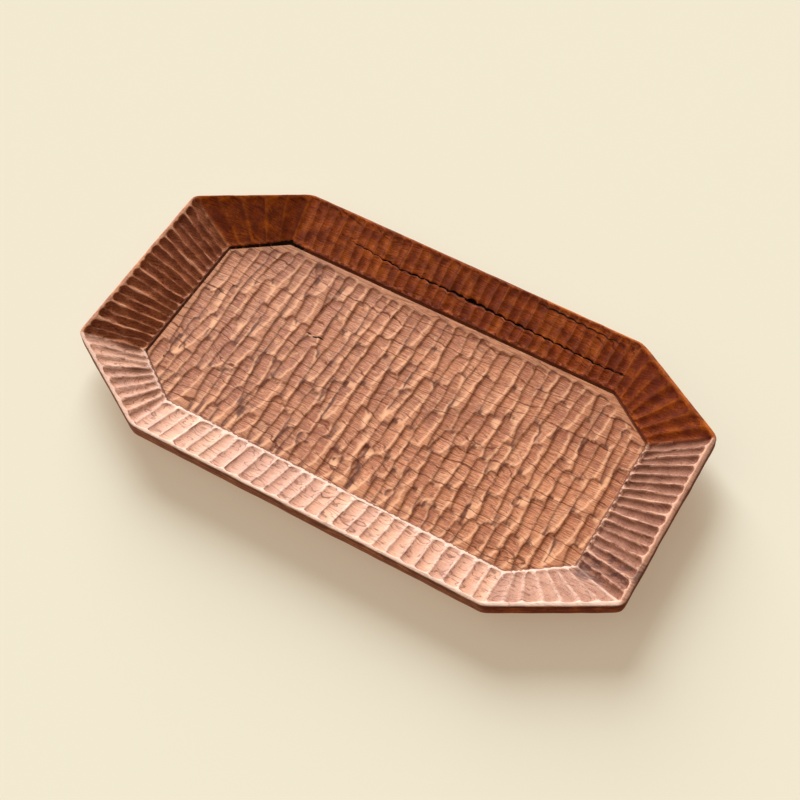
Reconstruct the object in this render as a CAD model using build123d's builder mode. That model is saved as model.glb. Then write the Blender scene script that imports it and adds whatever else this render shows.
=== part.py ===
# A shallow serving tray with eight sides, carved from one board of reddish hardwood.
# The origin is at the middle of the flat underside. X runs along the tray's length,
# which is also the run of the grain, Y runs across it and Z up. Sizes are in millimetres.

from build123d import *
from math import sqrt
import os

# Outline of the rim
tray_length = 360.0
tray_width = 198.0
tray_height = 24.0
corner_cut_length = 65.0  # how far each corner facet reaches along the length
corner_cut_width = 38.0  # and across the width
corner_round = 3.5  # worn corners of the outline

# The hollow
floor_thickness = 9.5  # wood left under the floor
foot_step = 1.2  # upright cut where the floor meets the walls
rim_land = 2.5  # flat top of the rim
end_wall_run = 36.0  # from the outside of the rim in to the floor, at each end
side_wall_run = 31.5  # and along each long side
floor_cut_length = 31.5  # corner facets of the floor
floor_cut_width = 22.5

# The outside
rim_band = 10.0  # upright edge below the rim
end_undercut = 33.0  # how far the underside is bevelled in, at each end
side_undercut = 29.0  # and along each long side
base_cut_length = 36.0  # corner facets of the flat that it stands on
base_cut_width = 25.0

# The flutes that the gouge leaves side by side, all round the walls
gouge_radius = 9.0
flute_depth = 1.1
foot_margin = 2.0  # plain wood between a flute and the foot of its wall, up the slope
rim_margin = 1.0  # and between the flute and the rim's land
back_flutes = 34
front_flutes = 26
left_flutes = 17
right_flutes = 16
corner_flutes = 7

inner_length = tray_length - 2 * rim_land
inner_width = tray_width - 2 * rim_land
floor_length = tray_length - 2 * end_wall_run
floor_width = tray_width - 2 * side_wall_run
base_length = tray_length - 2 * end_undercut
base_width = tray_width - 2 * side_undercut
band_bottom = tray_height - rim_band
foot_height = floor_thickness + foot_step

# A facet moved in by the width of the land has slightly shorter cuts.
facet_length = sqrt(corner_cut_length**2 + corner_cut_width**2)
land_loss = rim_land * (corner_cut_length + corner_cut_width - facet_length)
inner_cut_length = corner_cut_length - land_loss / corner_cut_width
inner_cut_width = corner_cut_width - land_loss / corner_cut_length

# A round gouge held this far off the wood cuts to the depth of a flute, and its mark
# then reaches this far past the centre of its round end.
gouge_lift = gouge_radius - flute_depth
mark_reach = sqrt(gouge_radius**2 - gouge_lift**2)


def octagon_corners(length, width, cut_length, cut_width):
    # Anticlockwise from the right-hand end of the back right facet
    x, y = length / 2, width / 2
    back = [(x, y - cut_width), (x - cut_length, y), (cut_length - x, y), (-x, y - cut_width)]
    return back + [(-px, -py) for px, py in back]


def sides(outline, height):
    corners = [Vector(x, y, height) for x, y in outline]
    return zip(corners, corners[1:] + corners[:1])


base_outline = octagon_corners(base_length, base_width, base_cut_length, base_cut_width)
rim_outline = octagon_corners(tray_length, tray_width, corner_cut_length, corner_cut_width)
mouth_outline = octagon_corners(inner_length, inner_width, inner_cut_length, inner_cut_width)
floor_outline = octagon_corners(floor_length, floor_width, floor_cut_length, floor_cut_width)

# The same order as the corners: corner facet, back, facet, left, facet, front, facet, right
flute_counts = [corner_flutes, back_flutes, corner_flutes, left_flutes]
flute_counts += [corner_flutes, front_flutes, corner_flutes, right_flutes]

with BuildPart() as carved_tray:
    # The underside, bevelled out from the flat base to the upright edge
    for height, outline in ((0, base_outline), (band_bottom, rim_outline)):
        with BuildSketch(Plane.XY.offset(height)) as section:
            with BuildLine():
                Polyline(*outline, close=True)
            make_face()
            fillet(section.vertices(), corner_round)
    loft(ruled=True)

    # The upright edge
    with BuildSketch(Plane.XY.offset(band_bottom)) as section:
        with BuildLine():
            Polyline(*rim_outline, close=True)
        make_face()
        fillet(section.vertices(), corner_round)
    extrude(amount=rim_band)

    # Eight sloping walls, from the rim's land down to the foot
    for height, outline in ((foot_height, floor_outline), (tray_height, mouth_outline)):
        with BuildSketch(Plane.XY.offset(height)):
            with BuildLine():
                Polyline(*outline, close=True)
            make_face()
    loft(ruled=True, mode=Mode.SUBTRACT)

    # The floor, sunk below the foot of the walls
    with BuildSketch(Plane.XY.offset(floor_thickness)):
        with BuildLine():
            Polyline(*floor_outline, close=True)
        make_face()
    extrude(amount=foot_step, mode=Mode.SUBTRACT)

    # The flutes, each one pass of a gouge with round ends, fanning out up the walls
    foot_sides = sides(floor_outline, foot_height)
    mouth_sides = sides(mouth_outline, tray_height)
    for (foot_from, foot_to), (mouth_from, mouth_to), count in zip(
        foot_sides, mouth_sides, flute_counts
    ):
        for number in range(count):
            share = (number + 0.5) / count
            foot = foot_from + (foot_to - foot_from) * share
            mouth = mouth_from + (mouth_to - mouth_from) * share
            uphill = (mouth - foot).normalized()
            outward = uphill.cross(foot_to - foot_from + mouth_to - mouth_from).normalized()
            start = foot + uphill * (foot_margin + mark_reach) + outward * gouge_lift
            run = (mouth - foot).length - foot_margin - rim_margin - 2 * mark_reach
            with BuildSketch(Plane(start, x_dir=uphill, z_dir=uphill.cross(outward))):
                with BuildLine():
                    low_end = CenterArc((0, 0), gouge_radius, 180, 90)
                    Line(low_end @ 1, (run, -gouge_radius))
                    high_end = CenterArc((run, 0), gouge_radius, 270, 90)
                    Line(high_end @ 1, low_end @ 0)
                make_face()
            revolve(axis=Axis(start, uphill), mode=Mode.SUBTRACT)

carved_tray.part.label = "carved_tray"
os.makedirs("parts", exist_ok=True)
export_step(carved_tray.part, "parts/carved_tray.step")
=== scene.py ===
import math

import bpy
import numpy as np
from mathutils import Matrix, Vector


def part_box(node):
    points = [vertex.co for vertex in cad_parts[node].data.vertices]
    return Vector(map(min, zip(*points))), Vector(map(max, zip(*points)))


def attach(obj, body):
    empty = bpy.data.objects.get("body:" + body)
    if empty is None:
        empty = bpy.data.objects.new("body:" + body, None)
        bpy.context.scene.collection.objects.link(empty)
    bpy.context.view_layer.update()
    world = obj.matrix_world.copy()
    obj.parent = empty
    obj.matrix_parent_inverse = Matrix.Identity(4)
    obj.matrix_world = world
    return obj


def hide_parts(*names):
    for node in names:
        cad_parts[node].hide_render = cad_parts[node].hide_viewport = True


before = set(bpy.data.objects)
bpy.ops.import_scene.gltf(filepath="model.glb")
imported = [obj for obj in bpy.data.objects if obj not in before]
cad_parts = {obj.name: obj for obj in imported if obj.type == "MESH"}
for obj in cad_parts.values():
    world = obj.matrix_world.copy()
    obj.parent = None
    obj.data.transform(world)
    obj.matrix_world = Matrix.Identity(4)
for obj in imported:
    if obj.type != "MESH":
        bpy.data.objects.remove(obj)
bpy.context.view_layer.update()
trayLow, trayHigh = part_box("carved_tray")
mm = 0.001  # the sizes below are in millimetres, Blender's are in metres
perMetre = 1000
print("1. frame loaded")

# the tray's section, from the floor out over the rim to the base
tray = {
    "cornerLength": 65.0,  # corner facets of the rim
    "cornerWidth": 38.0,
    "endWallRun": 36.0,
    "sideWallRun": 31.5,
    "floorCornerLength": 31.5,
    "floorCornerWidth": 22.5,
    "floorHeight": 9.5,
    "footStep": 1.2,
    "rimBand": 10.0,
    "endUndercut": 33.0,
    "sideUndercut": 29.0,
    "baseCornerLength": 36.0,
    "baseCornerWidth": 25.0,
    "wornCorners": 10,  # smoothing passes on the outline
    "outlineIn": 0.25,  # mm that the worn outline lies inside the sharp one
    # the knife's waves on each level: the most turns of a wave round the tray, and its size
    "outlineWaves": (90, 0.09),
    "mouthWaves": (140, 0.20),
    "mouthHeightWaves": (120, 0.05),
    "rimHeightWaves": (120, 0.05),
    "bandWaves": (70, 0.10),
    "landWidth": {"right": 3.1, "backRight": 2.4, "back": 1.6, "backLeft": 1.0, "left": 2.1,
                  "frontLeft": 1.9, "front": 1.9, "frontRight": 2.4},
    # how far the floor's edge lies over the floor's height
    "edgeHeight": {"right": -0.1, "backRight": -0.6, "back": -0.8, "backLeft": -1.0,
                   "left": -0.8, "frontLeft": -0.2, "front": -0.1, "frontRight": -0.1},
    "footIn": -0.35,  # mm that the walls' foot lies inside the floor's edge, here outside
    "seed": 7,
}

# how finely the wood is divided: along each end, facet and long side
mesh = {"end": 124, "facet": 44, "side": 300}

halfLength = (trayHigh.x - trayLow.x) / 2 / mm
halfWidth = (trayHigh.y - trayLow.y) / 2 / mm
rimHeight = trayHigh.z / mm
floorHalfLength = halfLength - tray["endWallRun"]
floorHalfWidth = halfWidth - tray["sideWallRun"]
footHeight = tray["floorHeight"] + tray["footStep"]

sideNames = ["right", "backRight", "back", "backLeft", "left", "frontLeft", "front", "frontRight"]
sideCounts = [mesh["end"], mesh["facet"], mesh["side"], mesh["facet"]] * 2
loopCount = sum(sideCounts)
sideStarts = np.concatenate([[0], np.cumsum(sideCounts)[:-1]])
sideOf = np.repeat(np.arange(8), sideCounts)


def octagon(halfX, halfY, cutX, cutY):
    right = [(halfX, cutY - halfY), (halfX, halfY - cutY), (halfX - cutX, halfY)]
    left = [(cutX - halfX, halfY), (-halfX, halfY - cutY), (-halfX, cutY - halfY)]
    return np.array(right + left + [(cutX - halfX, -halfY), (halfX - cutX, -halfY)])


def loopAround(corners):
    runs = []
    for side, count in enumerate(sideCounts):
        start, end = corners[side], corners[(side + 1) % 8]
        runs.append(start + (end - start) * (np.arange(count) / count)[:, None])
    return np.concatenate(runs)


def softened(loop, passes):
    for _ in range(passes):
        loop = (np.roll(loop, 1, axis=0) + 2 * loop + np.roll(loop, -1, axis=0)) / 4
    return loop


def movedIn(loop, distance):
    along = np.roll(loop, -1, axis=0) - np.roll(loop, 1, axis=0)
    along /= np.linalg.norm(along, axis=1)[:, None]
    inward = softened(np.stack([-along[:, 1], along[:, 0]], axis=1), 4)
    return loop + inward * np.asarray(distance).reshape(-1, 1)


def waves(places, rng, longest, shortest):
    # a wandering line with a height of about 1, from a few sine waves
    total, count = np.zeros_like(places), 6
    for length in np.geomspace(longest, shortest, count):
        total += np.sin(2 * np.pi * places / length + rng.uniform(0, 2 * np.pi))
    return total / math.sqrt(count)


def bySide(values, passes=0):
    # one value for each side of the tray, as an array round the loop
    spread = np.array([values[name] for name in sideNames], float)[sideOf]
    return softened(spread[:, None], passes)[:, 0]


# the outlines of the section's main levels

rng = np.random.default_rng(tray["seed"])
landWidth = bySide(tray["landWidth"], 30)
floorCorners = octagon(
    floorHalfLength, floorHalfWidth, tray["floorCornerLength"], tray["floorCornerWidth"]
)
floorLoop = loopAround(floorCorners)
rimCorners = octagon(halfLength, halfWidth, tray["cornerLength"], tray["cornerWidth"])
rimSharp = loopAround(rimCorners)
rimPlaces = np.concatenate([[0], np.cumsum(np.linalg.norm(np.diff(rimSharp, axis=0), axis=1))])
rimGirth = rimPlaces[-1] + np.linalg.norm(rimSharp[0] - rimSharp[-1])
around = rimPlaces / rimGirth  # 0 to 1 round the rim


def roundWaves(highest, size):
    # a wandering line that closes on itself round the tray
    total = np.zeros(loopCount)
    for turns in range(3, highest, 4):
        total += np.sin(2 * np.pi * turns * around + rng.uniform(0, 2 * np.pi)) / math.sqrt(turns)
    return total * size


rimLoop = softened(rimSharp, tray["wornCorners"])
rimLoop = movedIn(rimLoop, tray["outlineIn"] + roundWaves(*tray["outlineWaves"]))
mouthLoop = movedIn(softened(rimSharp, 3), landWidth + roundWaves(*tray["mouthWaves"]))
baseCorners = octagon(
    halfLength - tray["endUndercut"],
    halfWidth - tray["sideUndercut"],
    tray["baseCornerLength"],
    tray["baseCornerWidth"],
)
baseLoop = softened(loopAround(baseCorners), tray["wornCorners"])

# the walls: rows from the foot up to the mouth, and the flutes cut into them

flutes = {
    "count": {"right": 16, "backRight": 7, "back": 34, "backLeft": 5, "left": 17,
              "frontLeft": 8, "front": 26, "frontRight": 7},
    "depth": {"right": 1.9, "backRight": 0.9, "back": 0.9, "backLeft": 0.8, "left": 2.1,
              "frontLeft": 1.55, "front": 1.15, "frontRight": 1.3},
    # how much wider a flute is than its share of the wall
    "overlap": {"right": 1.02, "backRight": 1.12, "back": 1.10, "backLeft": 1.10, "left": 0.96,
                "frontLeft": 1.16, "front": 1.17, "frontRight": 1.20},
    "footMargin": {"right": 0.7, "backRight": 0.4, "back": 0.2, "backLeft": 0.6, "left": 0.2,
                   "frontLeft": 1.4, "front": 1.9, "frontRight": 1.8},
    "rimMargin": {"right": 0.3, "backRight": 0.2, "back": -0.2, "backLeft": 0.0, "left": 0.2,
                  "frontLeft": 0.1, "front": -0.1, "frontRight": 0.0},
    # how strongly the painted shade and painted highlight beside the flutes show
    "drawn": {"right": 1.0, "backRight": 0.7, "back": 1.0, "backLeft": 0.8, "left": 1.0,
              "frontLeft": 1.0, "front": 1.0, "frontRight": 1.0},
    "shadedFirst": {"right": -1},  # which half of a flute lies in shade, 1 where not named
    "endRun": 0.55,  # how long the round end is, in half widths
    "wander": {"left": 0.55, "right": 0.42},
    "plainWander": 0.32,  # where not named above
    "sways": ((3.1, 0.5), (1.3, 0.22), (7.0, 1.0)),  # mm for a radian, and share of the wander
    "uneven": 0.09,  # how far the depth varies along a flute, and over what length
    "unevenLength": 2.3,
    # how much single flutes differ: place in its share, width, depth, and mm at foot and rim
    "placeSpread": 0.12,
    "widthSpread": (0.95, 1.07),
    "depthSpread": (0.88, 1.14),
    "footSpread": 0.9,
    "rimSpread": 0.7,
    "reach": 40,  # points of the mesh to each side that a flute can touch
}

# the long drying crack in the back wall: shares of the wall's height at places along X
crack = {
    "along": [-76.0, -73.0, -38.0, -5.0, 9.5, 33.0, 70.0, 99.0, 114.0, 118.0],
    "up": [0.50, 0.50, 0.41, 0.43, 0.42, 0.38, 0.355, 0.315, 0.355, 0.36],
    "halfWidth": [0.0, 0.20, 0.46, 0.58, 0.85, 0.58, 0.48, 0.44, 0.28, 0.0],
    "depth": 1.7,
    "rowShare": 0.41,  # the row of the mesh that follows it
    "lean": 1.3,  # how far a flute's hollow draws it sideways, and the depth that doesn't
    "leanFrom": 0.45,
    "ragged": 0.35,  # how much its width varies
    "leastWidth": 0.02,
    "knotAt": 9.4,
    "knotSize": (5.0, 1.9),
    "knotEdge": 1.6,
    "knotDepth": 2.2,
}
upperCrack = {
    "along": [46.0, 50.0, 61.0, 75.0, 93.0, 101.0, 104.0],
    "up": [0.90, 0.90, 0.905, 0.88, 0.855, 0.85, 0.85],
    "halfWidth": [0.0, 0.26, 0.60, 0.42, 0.38, 0.24, 0.0],
}

wallShares = np.array(
    [0, 0.012, 0.03, 0.06, 0.10, 0.145, 0.19, 0.235, 0.28, 0.325, 0.362, 0.388, 0.400,
     0.41, 0.420, 0.432, 0.458, 0.50, 0.545, 0.59, 0.635, 0.68, 0.725, 0.77, 0.815, 0.86,
     0.90, 0.935, 0.96, 0.98, 1.0]
)
footLoop = movedIn(floorLoop, tray["footIn"])
foot = np.column_stack([footLoop, np.full(loopCount, footHeight)])
mouth = np.column_stack([mouthLoop, rimHeight + roundWaves(*tray["mouthHeightWaves"])])
slope = mouth - foot
slopeLength = np.linalg.norm(slope, axis=1)
onBack = sideOf == 2


def alongLoop(points):
    # distance round a loop to each of its points, and back to the first
    steps = np.linalg.norm(np.roll(points, -1, axis=0) - points, axis=1)
    return np.concatenate([[0], np.cumsum(steps)])


def wallNormals():
    across = np.roll(foot + mouth, -1, axis=0) - np.roll(foot + mouth, 1, axis=0)
    out = np.cross(slope, across)
    out = softened(out / np.linalg.norm(out, axis=1)[:, None], 6)
    return out / np.linalg.norm(out, axis=1)[:, None]


def rowShares(crackUp):
    # every row's share of the slope at each place round the tray; on the back wall the
    # rows part to let one of them follow the crack
    shares = np.repeat(wallShares[:, None], loopCount, axis=1)
    home = crack["rowShare"]
    reach = np.where(wallShares < home, wallShares / home, (1 - wallShares) / (1 - home))
    shift = np.zeros(loopCount)
    shift[onBack] = (crackUp - home)[onBack]
    edge = np.minimum(np.arange(loopCount) - sideStarts[2], sideStarts[3] - np.arange(loopCount))
    shift *= np.clip(edge / 12, 0, 1)
    return shares + reach[:, None] * shift[None, :]


def fluteCuts(shares, slide):
    # at every point of the wall, moved sideways by slide: how deep the best and the second
    # best flute are, the place across the best one (-1 to 1) and that one's tone
    rng = np.random.default_rng(tray["seed"] + 1)
    places = foot[None] + slope[None] * shares[:, :, None]
    lengths = np.stack([alongLoop(row) for row in places])
    height = shares * slopeLength[None, :]
    ends = np.append(sideStarts[1:], loopCount)
    sideLengths = lengths[:, ends] - lengths[:, sideStarts]
    best, second, across, tone = (np.zeros(shares.shape) for _ in range(4))
    for side, name in enumerate(sideNames):
        count = flutes["count"][name]
        for number in range(count):
            spread = flutes["placeSpread"]
            centre = (number + 0.5 + rng.uniform(-spread, spread)) / count
            index = sideStarts[side] + centre * sideCounts[side]
            column = int(index) % loopCount
            width = flutes["overlap"][name] * rng.uniform(*flutes["widthSpread"])
            depth = flutes["depth"][name] * rng.uniform(*flutes["depthSpread"])
            low = flutes["footMargin"][name] + rng.uniform(0, flutes["footSpread"])
            high = slopeLength[column] - flutes["rimMargin"][name]
            high = high - rng.uniform(0, flutes["rimSpread"])
            phases = rng.uniform(0, 2 * np.pi, 4)
            shade = rng.uniform(-1, 1)
            reach = flutes["reach"]
            near = np.arange(column - reach, column + reach + 1) % loopCount
            girths = lengths[:, -1:]
            middle = np.array([np.interp(index, np.arange(loopCount + 1), row) for row in lengths])
            away = lengths[:, near] - middle[:, None]
            away = (away + girths / 2) % girths - girths / 2 + slide[:, near]
            up = height[:, near]
            sway = 0
            for (length, size), phase in zip(flutes["sways"], phases):
                sway = sway + np.sin(up / length + phase) * size
            half = sideLengths[:, side : side + 1] / count * width / 2
            ripple = np.sin(up / flutes["unevenLength"] + phases[3])
            deep = depth * (1 + flutes["uneven"] * ripple)
            radius = (half**2 + deep**2) / (2 * deep)
            run = half * flutes["endRun"]
            past = np.maximum(0, np.maximum(low + run - up, up - (high - run))) * half / run
            aside = away - flutes["wander"].get(name, flutes["plainWander"]) * sway
            square = radius**2 - aside**2 - past**2
            cut = np.maximum(np.sqrt(np.maximum(square, 0)) - (radius - deep), 0)
            here = best[:, near]
            wins = cut > here
            turned = aside / half * flutes["shadedFirst"].get(name, 1)
            across[:, near] = np.where(wins, turned, across[:, near])
            tone[:, near] = np.where(wins, shade, tone[:, near])
            second[:, near] = np.maximum(second[:, near], np.minimum(here, cut))
            best[:, near] = np.maximum(here, cut)
    return best, second, across, tone


def eased(values, low, high):
    share = np.clip((values - low) / (high - low), 0, 1)
    return share * share * (3 - 2 * share)


# where the lines beside the cuts fade: mm of depth, mm by which the best cut beats the
# second, and places across a cut
fades = {
    "cut": (0.0, 0.10),
    "outline": (0.10, 0.60),
    "ridge": (0.05, 0.44),
    "flank": (-0.95, -0.30),
    "leftPart": -0.2,
}


def drawnLines(cutsAt, offsets, lineWidth):
    # painted shade and light beside each cut: a dark outline of painted shade at the left, shaded
    # side of each cut, its pale ridge of painted highlight, painted shade on its shaded flank, and
    # its tone, each the mean of a few places round a point so that lines run smoothly
    total = 0
    for offset in offsets:
        best, second, across, tone = cutsAt(*offset)
        isCut = eased(best / lineWidth, *fades["cut"])
        left = across < fades["leftPart"]
        lead = (best - second) / lineWidth
        outline = (1 - eased(lead, *fades["outline"])) * left * isCut
        ridge = (1 - eased(lead, *fades["ridge"])) * ~left * isCut
        flank = (1 - eased(across, *fades["flank"])) * isCut
        total = total + np.stack([outline, ridge, flank, tone])
    return total / len(offsets)


def ontoRidges(cutAt, spacing):
    # how far each point slides to sit on the ridge beside it, so that ridges come out sharp
    farthest, leastRise = 0.65, 0.012  # in spacings of the points, and mm
    slides = np.linspace(-farthest, farthest, 14)
    cuts = np.stack([cutAt(slide * spacing) for slide in slides])
    lowest = np.argmin(cuts, axis=0)
    isRidge = np.minimum(cuts[0], cuts[-1]) - cuts.min(axis=0) > leastRise
    isNear = (lowest > 1) & (lowest < len(slides) - 2)
    return np.where(isRidge & isNear, slides[lowest], 0.0) * spacing


crackUp = np.interp(footLoop[:, 0], crack["along"], crack["up"])
plain = np.zeros((len(wallShares), loopCount))
firstCut = fluteCuts(rowShares(crackUp), plain)[0]
crackRow = int(np.argmin(np.abs(wallShares - crack["rowShare"])))
crackUp = crackUp + crack["lean"] * (firstCut[crackRow] - crack["leanFrom"]) / slopeLength
shares = rowShares(crackUp)
wallPlaces = foot[None] + slope[None] * shares[:, :, None]
wallAlong = (np.roll(wallPlaces, -1, axis=1) - np.roll(wallPlaces, 1, axis=1)) / 2
wallSpacing = np.linalg.norm(wallAlong, axis=2)
wallAlong /= wallSpacing[:, :, None]
wallSlide = ontoRidges(lambda slide: fluteCuts(shares, plain + slide)[0], wallSpacing)
wallCut, wallSecond = fluteCuts(shares, wallSlide)[:2]
wallLines = drawnLines(
    lambda aside: fluteCuts(shares, wallSlide + aside * wallSpacing),
    [(-0.4,), (-0.2,), (0.0,), (0.2,), (0.4,)],
    1.0,
)
wallLines[:3] *= bySide(flutes["drawn"])[None, None]
normals = wallNormals()
wallPoints = wallPlaces + wallAlong * wallSlide[:, :, None]
wallX = wallPoints[:, :, 0]

# signed distance from each crack, in half widths of it, so that it draws as a sharp line
farAway = 9.0
crackWidth = np.interp(footLoop[:, 0], crack["along"], crack["halfWidth"], left=0, right=0)
crackWidth = crackWidth * (1 + crack["ragged"] * waves(footLoop[:, 0], rng, 23.0, 3.0))
crackHeight = (shares - crackUp[None]) * slopeLength[None]
crackAway = crackHeight / np.maximum(crackWidth, crack["leastWidth"])[None]
upperUp = np.interp(wallX, upperCrack["along"], upperCrack["up"])
upperUp = upperUp + crack["lean"] * (wallCut - crack["leanFrom"]) / slopeLength[None]
upperWidth = np.interp(wallX, upperCrack["along"], upperCrack["halfWidth"], left=0, right=0)
upperHeight = (shares - upperUp) * slopeLength[None]
upperAway = upperHeight / np.maximum(upperWidth, crack["leastWidth"])
crackAway[:, ~onBack] = farAway
upperAway[:, ~onBack] = farAway
knotX = (wallX - crack["knotAt"]) / crack["knotSize"][0]
knotUp = crackHeight / crack["knotSize"][1]
knot = np.where(onBack[None], np.exp(-(knotX**2 + knotUp**2) * crack["knotEdge"]), 0)

# the joint of wall and floor: a dark line of painted shade, widest on the walls in shade, and an
# open gap along the back left facet
footShade = bySide({"right": 1.0, "backRight": 1.2, "back": 1.9, "backLeft": 1.2, "left": 1.5,
                   "frontLeft": 0.9, "front": 0.85, "frontRight": 0.8}, 6)
wallUp = shares * slopeLength[None]
gap = {
    "along": [-150.0, -143.0, -125.0, -116.0, -112.0, -107.0, -98.0],
    "width": [0.0, 0.25, 0.5, 1.5, 1.5, 0.4, 0.0],
    "ragged": 0.5,
    "leastWidth": 0.02,
    "depth": 1.4,
}
gapWidth = np.interp(footLoop[:, 0], gap["along"], gap["width"], left=0, right=0)
gapRagged = 1 + gap["ragged"] * waves(footLoop[:, 0], rng, 14.0, 2.0)
gapWidth *= np.isin(sideOf, [2, 3]) * gapRagged
gapShare = wallUp / np.maximum(gapWidth, gap["leastWidth"])[None]

wallDepth = wallCut.copy()
wallDepth += np.clip(1.1 - gapShare, 0, 1) * np.clip(gapWidth, 0, 1)[None] * gap["depth"]
groove = np.clip(1 - np.abs(crackAway), 0, 1) * np.clip(crackWidth / 0.35, 0, 1)[None]
wallDepth += groove * crack["depth"] + knot * crack["knotDepth"]
wallPoints = wallPoints - normals[None] * wallDepth[:, :, None]
print("2. walls fluted")

# the floor: strokes of the gouge side by side, each from a round end to a tapering one

strokes = {
    "columnWidth": (6.4, 9.0),
    "widthOver": 1.10,  # how much wider a stroke is than its column
    "steepRadius": 1.6,  # of the left half of a stroke, and of its shallower right half
    "shallowRadius": 44.0,
    "border": {"back": 2.8, "front": 0.8, "left": 2.4, "right": 2.6},
    "shortest": 11.0,
    "lengthBack": (28.0, 60.0),
    "lengthFront": (20.0, 46.0),
    "overlap": (0.56, 0.88),
    "pastEnd": (2, 7),  # how far the last stroke of a column runs over the floor's edge
    "stagger": (0.35, 0.6),  # how far each column starts after the one before
    "topSpread": 3.4,
    "placeSpread": 1.4,
    "widthSpread": (0.92, 1.12),
    "deeper": (-0.08, 0.16),
    "scoopDeeper": 0.14,
    "crowding": 0.25,  # how much shorter strokes are at the front of the right half
    "roundEnd": 4.4,  # for a stroke of the usual width
    "usualWidth": 7.5,
    "tailShape": 2.2,  # how suddenly a stroke's tail and its round end run out
    "endShape": 2.6,
    "ripple": 0.04,
    "lean": 0.065,
    "wander": 0.32,
    "toneSpread": 0.65,
    "roundEndShade": 0.85,  # painted shade: darker at the round end than at the tail, by this and so much less
    "shadeFall": 1.7,
    "uncut": 0.32,  # how far the plain border stands over the floor's height
    # a few odd ones: x, y of the round end, length, width, lean
    "odd": [(-86.0, 63.0, 21.0, 9.0, 0.42), (-62.0, 59.0, 15.0, 7.0, -0.3)],
    # short scoops where chips broke out
    "scoops": [(8.0, -34.0, 12.0, 9.5, 0.0), (7.0, -46.0, 9.0, 7.5, 0.1),
               (-5.0, -49.0, 12.0, 8.0, -0.15), (54.0, -47.0, 13.0, 7.5, 0.05),
               (33.0, -52.0, 9.0, 7.0, -0.1), (76.0, -40.0, 12.0, 7.0, 0.2),
               (-31.0, -44.0, 12.0, 8.0, 0.1), (99.0, -20.0, 11.0, 8.0, -0.1)],
}


def floorEdge(x):
    # half the floor's width at x
    over = np.abs(x) - (floorHalfLength - tray["floorCornerLength"])
    cutShare = np.maximum(over, 0) / tray["floorCornerLength"]
    return floorHalfWidth - cutShare * tray["floorCornerWidth"]


facet = mesh["facet"]
inner = floorHalfLength - tray["floorCornerLength"]
columnsX = np.concatenate([
    np.linspace(-floorHalfLength, -inner, facet + 1)[:-1],
    np.linspace(-inner, inner, mesh["side"] + 1),
    np.linspace(inner, floorHalfLength, facet + 1)[1:],
])
columns, rows = len(columnsX) - 1, mesh["end"]
floorX = np.repeat(columnsX[:, None], rows + 1, axis=1)
floorY = floorEdge(columnsX)[:, None] * np.linspace(-1, 1, rows + 1)[None, :]


def chooseStrokes():
    rng = np.random.default_rng(tray["seed"] + 2)
    chosen = []
    border = strokes["border"]
    x = -floorHalfLength + border["left"]
    stagger = 0.0
    while x < floorHalfLength - border["right"] - 2:
        width = rng.uniform(*strokes["columnWidth"])
        middle = x + width / 2
        edge = floorEdge(middle)
        top = edge - border["back"] - rng.uniform(0, strokes["topSpread"])
        end = -edge + border["front"]
        stagger = (stagger + rng.uniform(*strokes["stagger"])) % 1
        first = True
        while top > end + 4:
            share = (top + floorHalfWidth) / (2 * floorHalfWidth)
            crowded = np.clip((middle + 30) / 90, 0, 1) * (1 - share)
            low, high = (
                np.interp(share, [0.25, 0.7], lengths)
                for lengths in zip(strokes["lengthFront"], strokes["lengthBack"])
            )
            length = rng.uniform(low, high) * (1 - strokes["crowding"] * crowded)
            if first:
                length = low * 0.6 + stagger * high * 0.8
            step = length * rng.uniform(*strokes["overlap"])
            isLast = top - end - step < strokes["shortest"]
            if isLast:
                length = top - end + rng.uniform(*strokes["pastEnd"])
            chosen.append({
                "x": middle + rng.uniform(-strokes["placeSpread"], strokes["placeSpread"]),
                "top": top,
                "length": length,
                "width": width * strokes["widthOver"] * rng.uniform(*strokes["widthSpread"]),
                "lean": rng.normal(0, strokes["lean"]),
                "deeper": rng.uniform(*strokes["deeper"]),
                "phases": rng.uniform(0, 2 * np.pi, 3),
                "tone": rng.uniform(-1, 1),
            })
            first = False
            if isLast:
                break
            top -= step
        x += width
    for x, top, length, width, lean in strokes["odd"] + strokes["scoops"]:
        phases = rng.uniform(0, 2 * np.pi, 3)
        chosen.append({"x": x, "top": top, "length": length, "width": width, "lean": lean,
                       "deeper": strokes["scoopDeeper"], "phases": phases, "tone": 1.0})
    return chosen


def strokeCut(stroke, x, y):
    # how deep one stroke cuts at each place
    down = stroke["top"] - y
    phases = stroke["phases"]
    sway = np.sin(down / 3.7 + phases[0]) + 0.5 * np.sin(down / 1.7 + phases[1])
    side = x - stroke["x"] - stroke["lean"] * down - strokes["wander"] * sway
    steep, shallow = strokes["steepRadius"], strokes["shallowRadius"]
    share = 1 / (1 + math.sqrt(shallow / steep))  # of the width, left of the deepest line
    side = side + stroke["width"] * (0.5 - share)
    curve = side**2 / (2 * np.where(side < 0, steep, shallow))
    deepest = (stroke["width"] * share) ** 2 / (2 * steep) + stroke["deeper"]
    roundEnd = strokes["roundEnd"] * stroke["width"] / strokes["usualWidth"]
    roundEnd = min(roundEnd, stroke["length"] * 0.45)
    past = np.clip(1 - down / roundEnd, 0, 1)
    leave = np.clip((down - roundEnd) / (stroke["length"] - roundEnd), 0, 1)
    ripple = strokes["ripple"] * np.sin(down / 1.2 + phases[2])
    cut = (deepest + ripple) * (1 - leave ** strokes["tailShape"])
    cut = cut - deepest * past ** strokes["endShape"] - curve
    return np.where((down > 0) & (down < stroke["length"]), cut, -1.0)


chosenStrokes = chooseStrokes()


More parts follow.
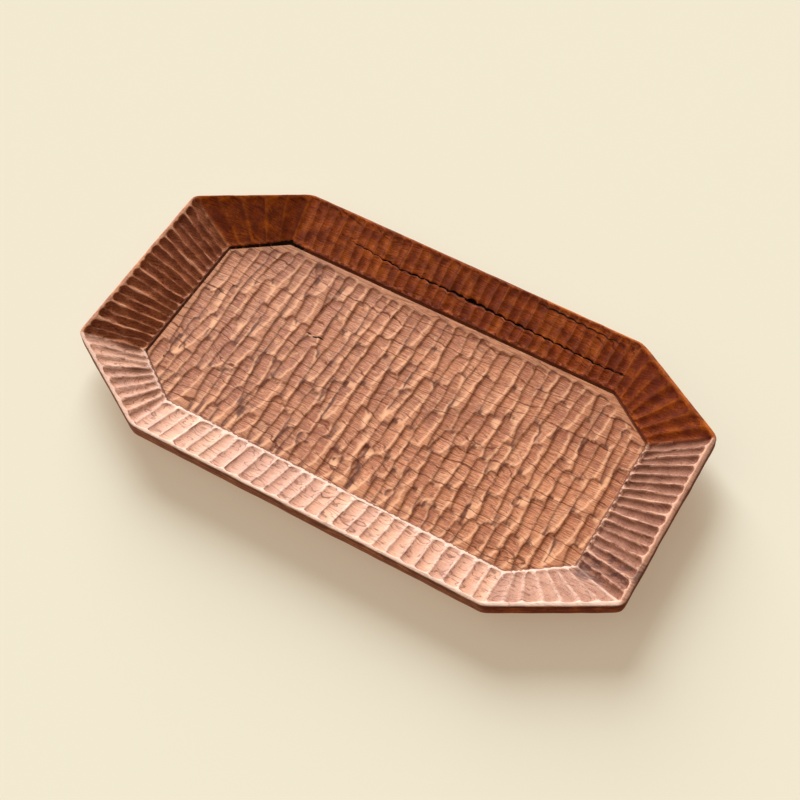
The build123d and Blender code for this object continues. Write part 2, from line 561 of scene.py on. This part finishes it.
def floorCuts(x, y):
    # at every point: how deep the best and the second best stroke are, the place across the best
    # one (-1 to 1, its round end counts as -1), and that one's tone, with painted shade towards
    # its round end and painted light towards its tail
    best, second, across, tone = (np.zeros(x.shape) for _ in range(4))
    for stroke in chosenStrokes:
        reach = stroke["width"] * 0.5 + abs(stroke["lean"]) * stroke["length"] + 3
        span = slice(*np.searchsorted(columnsX, [stroke["x"] - reach, stroke["x"] + reach]))
        cut = np.maximum(strokeCut(stroke, x[span], y[span]), 0)
        here = best[span]
        wins = cut > here
        down = stroke["top"] - y[span]
        aside = (x[span] - stroke["x"] - stroke["lean"] * down) / (stroke["width"] / 2)
        aside = np.minimum(aside, down / 2.1 - 1.25)
        across[span] = np.where(wins, np.clip(aside, -1, 1), across[span])
        # painted shade at the round end, falling to painted light at the tail
        shaded = strokes["roundEndShade"] - strokes["shadeFall"] * down / stroke["length"]
        tone[span] = np.where(wins, strokes["toneSpread"] * stroke["tone"] + shaded, tone[span])
        second[span] = np.maximum(second[span], np.minimum(here, cut))
        best[span] = np.maximum(here, cut)
    return best, second, across, tone


def insideOnly(slide):
    # the floor's edge stays where the walls meet it
    slide[[0, -1], :] = 0
    slide[:, [0, -1]] = 0
    return slide


spacingX = np.gradient(floorX, axis=0)
spacingY = np.gradient(floorY, axis=1)
slideX = insideOnly(ontoRidges(lambda slide: floorCuts(floorX + slide, floorY)[0], spacingX))
floorX = floorX + slideX
slideY = insideOnly(ontoRidges(lambda slide: floorCuts(floorX, floorY + slide)[0], spacingY))
floorY = floorY + np.where(slideX == 0, slideY, 0)
floorCut, floorSecond = floorCuts(floorX, floorY)[:2]
floorLines = drawnLines(
    lambda aside, up: floorCuts(floorX + aside * spacingX, floorY + up * spacingY),
    [(aside, up) for aside in (-0.38, 0.0, 0.38) for up in (-0.38, 0.0, 0.38)],
    0.72,
)

# a short split near the middle of the floor's left half
split = {"at": (-62.0, 15.0), "half": (6.5, 0.55), "depth": 0.7}
splitX = (floorX - split["at"][0]) / split["half"][0]
splitY = (floorY - split["at"][1] - 0.5 * np.sin(floorX / 1.9)) / split["half"][1]
splitHole = np.exp(-(splitX**4)) * np.exp(-(splitY**2))
floorZ = tray["floorHeight"] + strokes["uncut"] - floorCut - split["depth"] * splitHole
print("3. floor carved")

# the rim, the outside and the underside, as more loops


def level(loop, height):
    return np.column_stack([loop, np.broadcast_to(height, (loopCount,))])


bandBottom = rimHeight - tray["rimBand"]
rimTop = rimHeight + roundWaves(*tray["rimHeightWaves"])
knife = roundWaves(*tray["bandWaves"])
bottomEdge = movedIn(rimLoop, 0.55 + knife)


def underside(share, height):
    return level(bottomEdge + (baseLoop - bottomEdge) * share, height)


# from the rim's flat land over its rounded edge, down the band and in to the middle
outerRows = [
    level(mouthLoop + (rimLoop - mouthLoop) * 0.30, rimTop + 0.02),
    level(mouthLoop + (rimLoop - mouthLoop) * 0.62, rimTop + 0.03),
    level(movedIn(rimLoop, 0.34), rimTop - 0.03),
    level(movedIn(rimLoop, 0.09), rimTop - 0.22),
    level(rimLoop, rimTop - 0.60),
    level(movedIn(rimLoop, 0.10 + knife * 0.6), rimHeight - 3.2),
    level(movedIn(rimLoop, knife), rimHeight - 5.6),
    level(movedIn(rimLoop, 0.20 + knife), rimHeight - 8.2),
    level(bottomEdge, bandBottom + 0.25),
    underside(0.035, bandBottom - 0.35),
    underside(0.2, bandBottom * 0.80),
    underside(0.4, bandBottom * 0.60),
    underside(0.6, bandBottom * 0.40),
    underside(0.8, bandBottom * 0.20),
    underside(0.965, bandBottom * 0.04),
    underside(1.0, 0.08),
    level(movedIn(baseLoop, 1.2), 0.0),
    level(baseLoop * 0.93, 0.0),
]


def floorIndex(i, j):
    # number of the floor's point (i, j); the points of its edge belong to the first loop
    i, j = np.broadcast_arrays(i, j)
    index = interiorStart + (i - 1) * (rows - 1) + (j - 1)
    index = np.where(i == columns, j, index)
    index = np.where(j == rows, rows + columns - i, index)
    index = np.where(i == 0, 2 * rows + columns - j, index)
    index = np.where((j == 0) & (i > 0), (2 * rows + columns + i) % loopCount, index)
    return index


floorRing = level(floorLoop, tray["floorHeight"] + bySide(tray["edgeHeight"], 20))
ringRows = [floorRing, *wallPoints, *outerRows]
ringCount = len(ringRows)
interiorStart = ringCount * loopCount
floorPoints = [values[1:-1, 1:-1].ravel() for values in (floorX, floorY, floorZ)]
undersideMiddle = np.zeros((1, 3))
points = np.concatenate([*ringRows, np.column_stack(floorPoints), undersideMiddle])


def skinFaces(ridgeGap):
    here = np.arange(loopCount)
    after = (here + 1) % loopCount
    quads = []
    for row in range(ringCount - 1):
        low, high = row * loopCount, (row + 1) * loopCount
        quads.append(np.column_stack([low + here, high + here, high + after, low + after]))
    i, j = np.meshgrid(np.arange(columns), np.arange(rows), indexing="ij")
    i, j = i.ravel(), j.ravel()
    quads.append(np.column_stack([
        floorIndex(i, j), floorIndex(i + 1, j), floorIndex(i + 1, j + 1), floorIndex(i, j + 1)
    ]))
    quads = np.concatenate(quads)
    gaps = ridgeGap[quads]
    carvedFaces = gaps.min(axis=1) < 1
    # a carved face is divided along its ridge
    a, b, c, d = quads[carvedFaces].T
    gaps = gaps[carvedFaces]
    along = (gaps[:, 0] + gaps[:, 2] <= gaps[:, 1] + gaps[:, 3])[:, None]
    first = np.where(along, np.column_stack([a, b, c]), np.column_stack([a, b, d]))
    second = np.where(along, np.column_stack([a, c, d]), np.column_stack([b, c, d]))
    return quads[~carvedFaces].tolist() + first.tolist() + second.tolist()


def loopAndFloor(wallValues, ringValue, outerValues, floorValues):
    # joins values for each part of the skin in the order of its points
    outer = np.broadcast_to(np.asarray(outerValues, float), (len(outerRows), loopCount))
    return np.concatenate([
        np.broadcast_to(ringValue, (loopCount,)),
        np.broadcast_to(wallValues, wallCut.shape).ravel(),
        outer.ravel(),
        np.broadcast_to(floorValues, floorX.shape)[1:-1, 1:-1].ravel(),
        outer[-1, :1],
    ])


# how each side of the tray looks, from 0 to 1
sideLooks = {
    # how much the darker ends of the fibres show, in the flutes and on the land over them; partly
    # painted shade, darker on the walls that lie away from the light
    "endGrainAndShade": {"right": 0.66, "backRight": 0.95, "back": 0.22, "backLeft": 0.75, "left": 0.16,
                 "frontLeft": 0.05, "front": 0.0, "frontRight": 0.40},
    "landEndGrain": {"right": 0.95, "backRight": 0.45, "back": 0.45, "backLeft": 0.65,
                     "left": 0.45, "frontLeft": 0.1, "front": 0.05, "frontRight": 0.05},
    # how strongly the grain lines show
    "boldness": {"right": 0.15, "backRight": 0.35, "back": 0.75, "backLeft": 0.6, "left": 0.12,
                 "frontLeft": 0.3, "front": 0.6, "frontRight": 0.3},
    # painted shade: how much darker each side is drawn for the shade it lies in
    "paintedShade": {"right": 0.15, "backRight": 1.0, "back": 0.9, "backLeft": 1.0, "left": 0.48,
                 "frontLeft": 0.1, "front": 0.0, "frontRight": 0.0},
    # painted sheen: how much paler each side is drawn where the light glances off it
    "paintedSheen": {"right": 0.22, "backRight": 0.0, "back": 0.0, "backLeft": 0.0, "left": 0.04,
              "frontLeft": 0.30, "front": 0.27, "frontRight": 0.26},
    # how pale the ridges are, a painted highlight strongest on the lit walls, then the edge of the
    # rim
    "crest": {"right": 0.75, "backRight": 0.2, "back": 0.1, "backLeft": 0.1, "left": 0.9,
              "frontLeft": 1.0, "front": 1.0, "frontRight": 1.0},
    "rimPale": {"right": 0.15, "backRight": 0.3, "back": 0.0, "backLeft": 0.0, "left": 0.5,
                "frontLeft": 0.9, "front": 0.9, "frontRight": 1.0},
    "rimDark": {"right": 0.50, "backRight": 0.35, "back": 0.85, "backLeft": 0.9, "left": 0.3,
                "frontLeft": 0.0, "front": 0.0, "frontRight": 0.0},
    # painted shade on the outside of each side
    "outsideShade": {"right": 0.85, "backRight": 0.7, "back": 0.6, "backLeft": 0.6, "left": 0.6,
                    "frontLeft": 0.45, "front": 0.35, "frontRight": 0.9},
}


def byRow(first, rest):
    # one value for each of the outer rows, from the rim outwards
    return np.array(first + [rest] * (len(outerRows) - len(first)))[:, None]


endGrainAndShade, boldness, paintedShade, paintedSheen, crest = (
    bySide(sideLooks[name], 2) for name in ("endGrainAndShade", "boldness", "paintedShade", "paintedSheen", "crest")
)
landEndGrain = bySide(sideLooks["landEndGrain"], 8)
rimPale, rimDark = (bySide(sideLooks[name], 4) for name in ("rimPale", "rimDark"))
outsideShade = bySide(sideLooks["outsideShade"], 6)[None]

# the rim of the back wall is worn pale towards its right end
wornEnd = eased(rimSharp[onBack, 0], 44.0, 52.0)
rimPale[onBack] += 0.5 * wornEnd
rimDark[onBack] *= 1 - 0.8 * wornEnd
outsideShare = byRow([0.0, 0.0, 0.0, 0.3], 1.0)
rimShare = 1 - outsideShare
rimEdgeShare = byRow([0.0, 0.45, 1.0, 0.8], 0.0) * rimPale[None]
rimDark = rimDark[None] * byRow([0.3, 0.8, 1.0, 1.0, 1.0, 0.5], 0.0)
outsideEndGrainAndShade = landEndGrain[None] * rimShare + outsideShade * outsideShare
outerRowsShade = paintedShade[None] * rimShare + outsideShare * outsideShade


def carvedTray():
    data = bpy.data.meshes.new("carvedTray")
    ridgeGap = loopAndFloor(wallCut - wallSecond, 1.0, 1.0, floorCut - floorSecond)
    faces = skinFaces(np.minimum(ridgeGap, 1.0))
    base = (ringCount - 1) * loopCount
    middle = len(points) - 1
    faces += [(base + here, middle, base + (here + 1) % loopCount) for here in range(loopCount)]
    openFoot = np.where(gapWidth > 0.2, 0.5, farAway)
    data.from_pydata((points * mm).tolist(), [], faces)
    data.validate()
    data.shade_smooth()
    marks = {
        "hollow": loopAndFloor(wallCut, 0.0, 0.0, floorCut),
        # outline and flank are painted shade beside the cuts, ridge a painted highlight; on the
        # rim, outline is its dark edge
        "outline": loopAndFloor(wallLines[0], 0.0, rimDark, floorLines[0]),
        "ridge": loopAndFloor(wallLines[1], 0.0, 0.0, floorLines[1]),
        "flank": loopAndFloor(wallLines[2], 0.0, 0.0, floorLines[2]),
        "tone": loopAndFloor(wallLines[3], 0.0, 0.0, floorLines[3]),
        "crackAway": loopAndFloor(crackAway, farAway, farAway, farAway),
        "upperAway": loopAndFloor(upperAway, farAway, farAway, farAway),
        "hole": loopAndFloor(knot, 0.0, 0.0, splitHole),
        "footUp": loopAndFloor(wallUp / footShade[None], -0.6, farAway, -3.0),
        "gapShare": loopAndFloor(np.minimum(gapShare, farAway), openFoot, farAway, farAway),
        # darker end grain, partly painted shade by side
        "endGrainAndShade": loopAndFloor(endGrainAndShade[None], 0.0, outsideEndGrainAndShade, 0.0),
        "crest": loopAndFloor(crest[None], 0.0, rimPale[None] * rimShare, 0.0),
        # painted sheen by side
        "paintedSheen": loopAndFloor(paintedSheen[None], 0.0, paintedSheen[None] * rimShare, 0.0),
        "boldness": loopAndFloor(boldness[None], 1.0, 0.3, 1.0),
        # painted shade by side, on the walls and the outside
        "deep": loopAndFloor(paintedShade[None], 0.0, outerRowsShade, 0.0),
        "outside": loopAndFloor(0.0, 0.0, outsideShare, 0.0),
        "rimEdge": loopAndFloor(0.0, 0.0, rimEdgeShare, 0.0),
    }
    for name, values in marks.items():
        layer = data.attributes.new(name, "FLOAT", "POINT")
        layer.data.foreach_set("value", values.astype(np.float32))
    piece = bpy.data.objects.new("carvedTray", data)
    bpy.context.collection.objects.link(piece)
    return piece


carved = carvedTray()
print("4. one skin of", len(carved.data.polygons), "faces")

wood = {
    "pale": (0.56, 0.196, 0.074),
    "middle": (0.39, 0.112, 0.034),
    "red": (0.31, 0.062, 0.014),
    "dark": (0.100, 0.020, 0.005),
    "worn": (0.88, 0.465, 0.255),
    "endGrainAndShade": (0.15, 0.036, 0.016),
    "line": (0.115, 0.026, 0.008),
    "void": (0.010, 0.005, 0.003),
    "stain": (0.050, 0.018, 0.022),
    "deep": (0.93, 0.40, 0.01),  # colours are multiplied by this in the deepest shade
    "paintedSheen": (0.93, 0.66, 0.54),
    "edge": (1.0, 0.80, 0.68),  # painted highlight on the ridges between the flutes of the lit walls
    "lineSpacing": 5.4,  # mm between the dark lines of the grain on the floor
    "fineLines": 3.7,  # fine lines for each dark one
    "pith": (-150.0, -120.0),  # y and z of the heart of the tree
    "bend": 6.0,  # mm that the rings wander, slowly and then quickly
    "bendFine": 1.2,
}

# washes of colour over the whole tray: what steers one, from and to which value of that,
# how strong it is at both, and its colour
washes = [
    # tone: random tone of each cut; on the floor also painted shade at each stroke's round end
    # (red) and painted light at its tail (worn)
    ("tone", 0.0, 1.0, 0.0, 0.42, "red"),
    ("tone", -1.0, -0.1, 0.26, 0.0, "worn"),
    ("mottle", 0.50, 0.70, 0.0, 0.55, "red"),
    ("mottle", 0.30, 0.46, 0.42, 0.0, "worn"),
    ("fibre", 0.48, 0.60, 0.0, 0.50, "dark"),
    ("fibre", 0.36, 0.46, 0.35, 0.0, "worn"),
    ("scratch", 0.54, 0.70, 0.0, 0.16, "worn"),
]

finish = {
    # how strongly each mark is laid on
    "endGrainAndShade": 0.72,
    "flank": 0.30,
    "outline": 0.90,
    "hollow": 0.80,
    "tick": 0.65,
    "fine": (0.60, 0.90),  # on plain wood, on wood under painted shade
    "ridge": 0.82,
    "land": (0.16, 0.44),  # painted highlight on the uncut wood of a shaded side, of a lit side
    "line": 0.80,
    "speck": 0.4,
    "lowerBand": 0.60,
    "outside": 0.38,
    "stripe": 0.60,
    "underRim": 0.75,
    "foot": 0.80,
    "stain": 0.62,
    "lightPatch": 0.12,
    "darkPatch": 0.50,
    # places in mm: heights of the marks outside, and x and y over which the stain fades
    "stripeAt": 18.4,
    "stripeWave": 1.8,
    "lowerBandFrom": (15.4, 17.2),
    "underRimAt": 22.2,
    "stainX": (143.0, 148.0),
    "stainBack": (-28.0, -36.0),
    "stainFront": (-56.0, -50.0),
    "relief": {"fibre": 0.12, "bold": -0.10, "fine": -0.04, "scratch": 0.10, "mottle": 0.25},
    "reliefHeight": 0.001,
    "reliefStrength": 0.8,
    "roughness": (0.50, 0.84),
    "gloss": 0.20,
}


class Nodes:
    # short ways to add and join shader nodes
    def __init__(self, material):
        material.use_nodes = True
        self.tree = material.node_tree
        self.tree.nodes.clear()

    def add(self, kind, inputs=None, **settings):
        node = self.tree.nodes.new(kind)
        for name, value in settings.items():
            setattr(node, name, value)
        for name, value in (inputs or {}).items():
            self.put(node.inputs[name], value)
        return node

    def put(self, socket, value):
        if isinstance(value, bpy.types.NodeSocket):
            self.tree.links.new(value, socket)
        else:
            socket.default_value = value

    def math(self, operation, a, b=0.0):
        return self.add("ShaderNodeMath", {0: a, 1: b}, operation=operation).outputs[0]

    def times(self, a, b):
        return self.math("MULTIPLY", a, b)

    def ramp(self, value, low, high, outLow=0.0, outHigh=1.0):
        inputs = {"Value": value, "From Min": low, "From Max": high}
        inputs.update({"To Min": outLow, "To Max": outHigh})
        node = self.add("ShaderNodeMapRange", inputs, interpolation_type="SMOOTHSTEP")
        return node.outputs[0]

    def mix(self, share, a, b, blend="MIX"):
        node = self.add("ShaderNodeMix", data_type="RGBA", blend_type=blend)
        for socket, value in zip((node.inputs[0], node.inputs[6], node.inputs[7]), (share, a, b)):
            if isinstance(value, tuple) and len(value) == 3:
                value = (*value, 1.0)
            self.put(socket, value)
        return node.outputs[2]

    def laid(self, colour, share, strength, top):
        # the top colour over the other one where share is, no more than strength
        return self.mix(self.times(share, strength), colour, top)

    def stretched(self, place, x, y, z):
        node = self.add("ShaderNodeMapping", {"Vector": place, "Scale": (x, y, z)})
        return node.outputs[0]

    def noise(self, place, stretch, detail=3.0, rough=0.55):
        place = self.stretched(place, *stretch)
        node = self.add(
            "ShaderNodeTexNoise",
            {"Vector": place, "Scale": 1.0, "Detail": detail, "Roughness": rough},
        )
        return node.outputs["Fac"]

    def mark(self, name):
        node = self.add("ShaderNodeAttribute", attribute_name=name)
        return node.outputs["Fac"]


def grain(n, inMm, y, z):
    # rings of the tree as long shells round a heart that runs along X, gently bent; the
    # answers are the bold lines, the fine lines between them and the fibres
    bend = n.noise(inMm, (0.008, 0.03, 0.05), 2.0)
    bendFine = n.noise(inMm, (0.07, 0.16, 0.16))
    fromY = n.math("SUBTRACT", y, wood["pith"][0])
    fromZ = n.math("SUBTRACT", z, wood["pith"][1])
    squares = n.math("ADD", n.times(fromY, fromY), n.times(fromZ, fromZ))
    radius = n.math("SQRT", squares)
    radius = n.math("ADD", radius, n.ramp(bend, 0.2, 0.8, -wood["bend"], wood["bend"]))
    radius = n.math("ADD", radius, n.ramp(bendFine, 0.1, 0.9, -wood["bendFine"], wood["bendFine"]))
    rings = n.math("DIVIDE", radius, wood["lineSpacing"])
    bold = n.ramp(n.math("PINGPONG", rings, 0.5), 0.440, 0.485)
    fading = n.ramp(n.noise(inMm, (0.03, 0.20, 0.20)), 0.36, 0.56, 0.25, 1.0)
    bold = n.times(bold, fading)
    close = n.math("PINGPONG", n.times(rings, wood["fineLines"]), 0.5)
    fine = n.ramp(close, 0.34, 0.47)
    fineFading = n.ramp(n.noise(inMm, (0.05, 0.35, 0.35), 2.0), 0.36, 0.56)
    fine = n.times(fine, fineFading)
    fibre = n.noise(inMm, (0.09, 2.3, 2.3), 3.0, 0.6)
    return bold, fine, fibre


def carvedWood():
    material = bpy.data.materials.new("carvedWood")
    n = Nodes(material)
    place = n.add("ShaderNodeTexCoord").outputs["Object"]
    inMm = n.stretched(place, perMetre, perMetre, perMetre)
    x, y, z = n.add("ShaderNodeSeparateXYZ", {0: inMm}).outputs
    bold, fine, fibre = grain(n, inMm, y, z)
    cloud = n.noise(inMm, (0.014, 0.026, 0.03))
    mottle = n.noise(inMm, (0.12, 0.17, 0.2), 4.0, 0.6)
    scratch = n.noise(inMm, (2.4, 0.10, 0.3), 2.0)
    speck = n.noise(inMm, (0.5, 1.6, 1.6), 2.0)

    names = ("hollow", "outline", "ridge", "flank", "tone", "endGrainAndShade", "outside", "deep")
    hollow, outline, ridge, flank, tone, endGrainAndShade, outside, deep = (n.mark(name) for name in names)
    uncut = n.ramp(hollow, 0.0, 0.18, 1.0, 0.0)

    colour = n.mix(n.ramp(cloud, 0.32, 0.68), wood["middle"], wood["pale"])
    steer = {"tone": tone, "mottle": mottle, "fibre": fibre, "scratch": scratch}
    for name, low, high, atLow, atHigh, wash in washes:
        colour = n.mix(n.ramp(steer[name], low, high, atLow, atHigh), colour, wood[wash])
    # darker end grain, and painted shade on the walls away from the light
    colour = n.laid(colour, endGrainAndShade, finish["endGrainAndShade"], wood["endGrainAndShade"])
    # painted sheen on the walls that face the light, and a little more towards the left end
    colour = n.mix(n.mark("paintedSheen"), colour, wood["paintedSheen"])
    colour = n.mix(n.ramp(x, -150.0, 70.0, 0.07, 0.03), colour, wood["paintedSheen"])
    # painted shade on the shaded flank and along the dark outline of each cut
    colour = n.laid(colour, flank, finish["flank"], wood["dark"])
    colour = n.laid(colour, outline, finish["outline"], wood["dark"])
    # painted shade deep in the hollows
    hollowShade = n.times(n.ramp(hollow, 0.5, 1.4), endGrainAndShade)
    colour = n.laid(colour, hollowShade, finish["hollow"], wood["dark"])
    tick = n.noise(inMm, (2.6, 0.35, 0.35), 3.0, 0.6)
    tick = n.times(n.ramp(tick, 0.50, 0.64), endGrainAndShade)
    colour = n.laid(colour, tick, finish["tick"], wood["dark"])
    fineShare = n.times(fine, n.ramp(deep, 0.0, 1.0, *finish["fine"]))
    colour = n.mix(fineShare, colour, wood["dark"])
    # painted highlight on the ridges and on the uncut land, strongest on the lit walls
    crest = n.mark("crest")
    edgeColour = n.mix(crest, wood["worn"], wood["edge"])
    colour = n.laid(colour, ridge, finish["ridge"], edgeColour)
    land = n.times(uncut, n.ramp(crest, 0.0, 1.0, *finish["land"]))
    colour = n.mix(land, colour, edgeColour)
    bold = n.times(bold, n.mark("boldness"))
    colour = n.laid(colour, bold, finish["line"], wood["line"])
    colour = n.mix(n.ramp(speck, 0.68, 0.76, 0.0, finish["speck"]), colour, wood["line"])

    # the outside: a redder lower band, a dark wavy stripe, dark under the rim, a pale edge
    wave = n.noise(inMm, (0.035, 0.035, 0.02))
    wander = n.ramp(wave, 0.2, 0.8, -finish["stripeWave"], finish["stripeWave"])
    stripeHeight = n.math("ADD", z, wander)
    stripe = n.math("ABSOLUTE", n.math("SUBTRACT", stripeHeight, finish["stripeAt"]))
    stripe = n.times(n.ramp(stripe, 0.3, 1.0, 1.0, 0.0), outside)
    lower = n.times(n.ramp(stripeHeight, *finish["lowerBandFrom"], 1.0, 0.0), outside)
    colour = n.laid(colour, lower, finish["lowerBand"], wood["red"])
    # painted shade over the whole outside
    colour = n.laid(colour, outside, finish["outside"], wood["dark"])
    colour = n.laid(colour, stripe, finish["stripe"], wood["dark"])
    underRim = n.math("ABSOLUTE", n.math("SUBTRACT", stripeHeight, finish["underRimAt"]))
    underRim = n.times(n.ramp(underRim, 1.0, 2.6, 1.0, 0.0), outside)
    underRim = n.times(underRim, n.ramp(mottle, 0.36, 0.56, 0.35, 1.0))
    colour = n.laid(colour, underRim, finish["underRim"], wood["dark"])
    rimEdge = n.times(n.mark("rimEdge"), n.ramp(mottle, 0.40, 0.60, 0.75, 0.25))
    colour = n.mix(rimEdge, colour, wood["edge"])

    # painted shade where the walls meet the floor, and blue-black stains low on the right wall
    ragged = n.ramp(n.noise(inMm, (0.35, 0.35, 0.35)), 0.3, 0.7, -0.70, 0.70)
    footUp = n.math("ADD", n.mark("footUp"), ragged)
    foot = n.times(n.ramp(footUp, 0.6, 1.1, 1.0, 0.0), n.ramp(footUp, -2.0, -1.2))
    colour = n.laid(colour, foot, finish["foot"], wood["line"])
    stained = n.times(n.ramp(x, *finish["stainX"]), n.ramp(y, *finish["stainBack"]))
    stained = n.times(stained, n.ramp(y, *finish["stainFront"]))
    soak = n.noise(inMm, (0.07, 0.33, 0.33), 3.0, 0.6)
    stained = n.times(stained, n.ramp(soak, 0.47, 0.60))
    colour = n.laid(colour, stained, finish["stain"], wood["stain"])
    # mottling within the painted shade, then the painted shade multiplied into the colour
    darkPatch = n.times(n.ramp(mottle, 0.46, 0.62), deep)
    lightPatch = n.times(n.ramp(mottle, 0.34, 0.46, 1.0, 0.0), deep)
    colour = n.laid(colour, lightPatch, finish["lightPatch"], wood["worn"])
    colour = n.laid(colour, darkPatch, finish["darkPatch"], wood["dark"])
    colour = n.mix(deep, colour, wood["deep"], "MULTIPLY")

    mainCrack = n.ramp(n.math("ABSOLUTE", n.mark("crackAway")), 0.75, 1.25, 1.0, 0.0)
    highCrack = n.ramp(n.math("ABSOLUTE", n.mark("upperAway")), 0.75, 1.25, 1.0, 0.0)
    openGap = n.ramp(n.mark("gapShare"), 0.85, 1.1, 1.0, 0.0)
    cracks = n.math("MAXIMUM", mainCrack, highCrack)
    void = n.math("MAXIMUM", cracks, n.ramp(n.mark("hole"), 0.30, 0.50))
    void = n.math("MAXIMUM", void, openGap)
    colour = n.mix(void, colour, wood["void"])

    relief = finish["relief"]
    height = n.times(fibre, relief["fibre"])
    parts = {"bold": bold, "fine": fine, "scratch": scratch, "mottle": mottle}
    for name, part in parts.items():
        height = n.math("ADD", height, n.times(part, relief[name]))
    bump = n.add("ShaderNodeBump", {
        "Height": height,
        "Distance": finish["reliefHeight"],
        "Strength": finish["reliefStrength"],
    })

    marks = n.math("MAXIMUM", n.math("MAXIMUM", bold, void), n.math("MAXIMUM", foot, endGrainAndShade))
    dull = n.math("ADD", n.times(fibre, 0.35), n.times(marks, 0.6))
    shader = n.add("ShaderNodeBsdfPrincipled", {
        "Base Color": colour,
        "Roughness": n.ramp(dull, 0.05, 0.9, *finish["roughness"]),
        "Normal": bump.outputs[0],
        "Specular IOR Level": finish["gloss"],
    })
    n.add("ShaderNodeOutputMaterial", {"Surface": shader.outputs[0]})
    return material


carved.data.materials.append(carvedWood())
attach(carved, "root")
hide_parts("carved_tray")
print("5. wood finished")

studio = {
    "table": (0.50, 0.535, 0.47),
    "tableGlow": (0.330, 0.245, 0.165),  # a faint light that the table gives off itself
    "tableSize": 30.0,  # metres
    # each light: degrees round from +Y towards +X, degrees up, degrees wide, strength, colour
    "window": (-41.0, 23.0, 40.0, 6.2, (1.0, 0.99, 0.98)),
    "fill": (-125.0, 40.0, 70.0, 0.60, (1.0, 0.90, 0.80)),
    "sky": (1.0, 0.82, 0.66),
    "skyStrength": 0.24,
}


def table():
    size = studio["tableSize"] / 2
    data = bpy.data.meshes.new("table")
    corners = [(-size, -size, 0), (size, -size, 0), (size, size, 0), (-size, size, 0)]
    data.from_pydata(corners, [], [(0, 1, 2, 3)])
    material = bpy.data.materials.new("paleTable")
    n = Nodes(material)
    shader = n.add("ShaderNodeBsdfPrincipled", {
        "Base Color": (*studio["table"], 1),
        "Roughness": 0.9,
        "Specular IOR Level": 0.0,
        "Emission Color": (*studio["tableGlow"], 1),
        "Emission Strength": 1.0,
    })
    n.add("ShaderNodeOutputMaterial", {"Surface": shader.outputs[0]})
    data.materials.append(material)
    piece = bpy.data.objects.new("table", data)
    bpy.context.collection.objects.link(piece)


def softLight(name):
    around, height, spread, strength, colour = studio[name]
    way, up = math.radians(around), math.radians(height)
    towards = Vector((math.sin(way) * math.cos(up), math.cos(way) * math.cos(up), math.sin(up)))
    light = bpy.data.lights.new(name, "SUN")
    light.angle = math.radians(spread)
    light.energy = strength
    light.color = colour
    lamp = bpy.data.objects.new(name, light)
    lamp.location = towards
    lamp.rotation_euler = towards.to_track_quat("Z", "Y").to_euler()
    bpy.context.collection.objects.link(lamp)


def sky():
    world = bpy.data.worlds.new("sky")
    world.use_nodes = True
    back = world.node_tree.nodes["Background"]
    back.inputs[0].default_value = (*studio["sky"], 1)
    back.inputs[1].default_value = studio["skyStrength"]
    bpy.context.scene.world = world


# degrees round from -Y towards +X, up and of roll, metres away and looked at, mm of lens
view = {
    "way": 31.15,
    "height": 56.89,
    "roll": -1.05,
    "away": 0.9545,
    "lens": 73.17,
    "sensor": 36.0,
    "look": (0.0058, 0.0004, 0.0101),
}


def camera():
    way, up, roll = (math.radians(view[name]) for name in ("way", "height", "roll"))
    back = Vector((math.sin(way) * math.cos(up), -math.cos(way) * math.cos(up), math.sin(up)))
    right = (-back).cross(Vector((0, 0, 1))).normalized()
    over = right.cross(-back)
    turnedRight = right * math.cos(roll) + over * math.sin(roll)
    turnedOver = over * math.cos(roll) - right * math.sin(roll)
    data = bpy.data.cameras.new("camera")
    data.sensor_width = view["sensor"]
    data.lens = view["lens"]
    data.dof.use_dof = False
    piece = bpy.data.objects.new("camera", data)
    turn = Matrix((turnedRight, turnedOver, back)).transposed().to_4x4()
    piece.matrix_world = Matrix.Translation(Vector(view["look"]) + back * view["away"]) @ turn
    bpy.context.collection.objects.link(piece)
    bpy.context.scene.camera = piece


table()
softLight("window")
softLight("fill")
sky()
camera()
bpy.context.scene.view_settings.view_transform = "Standard"
print("6. table, light and camera set")
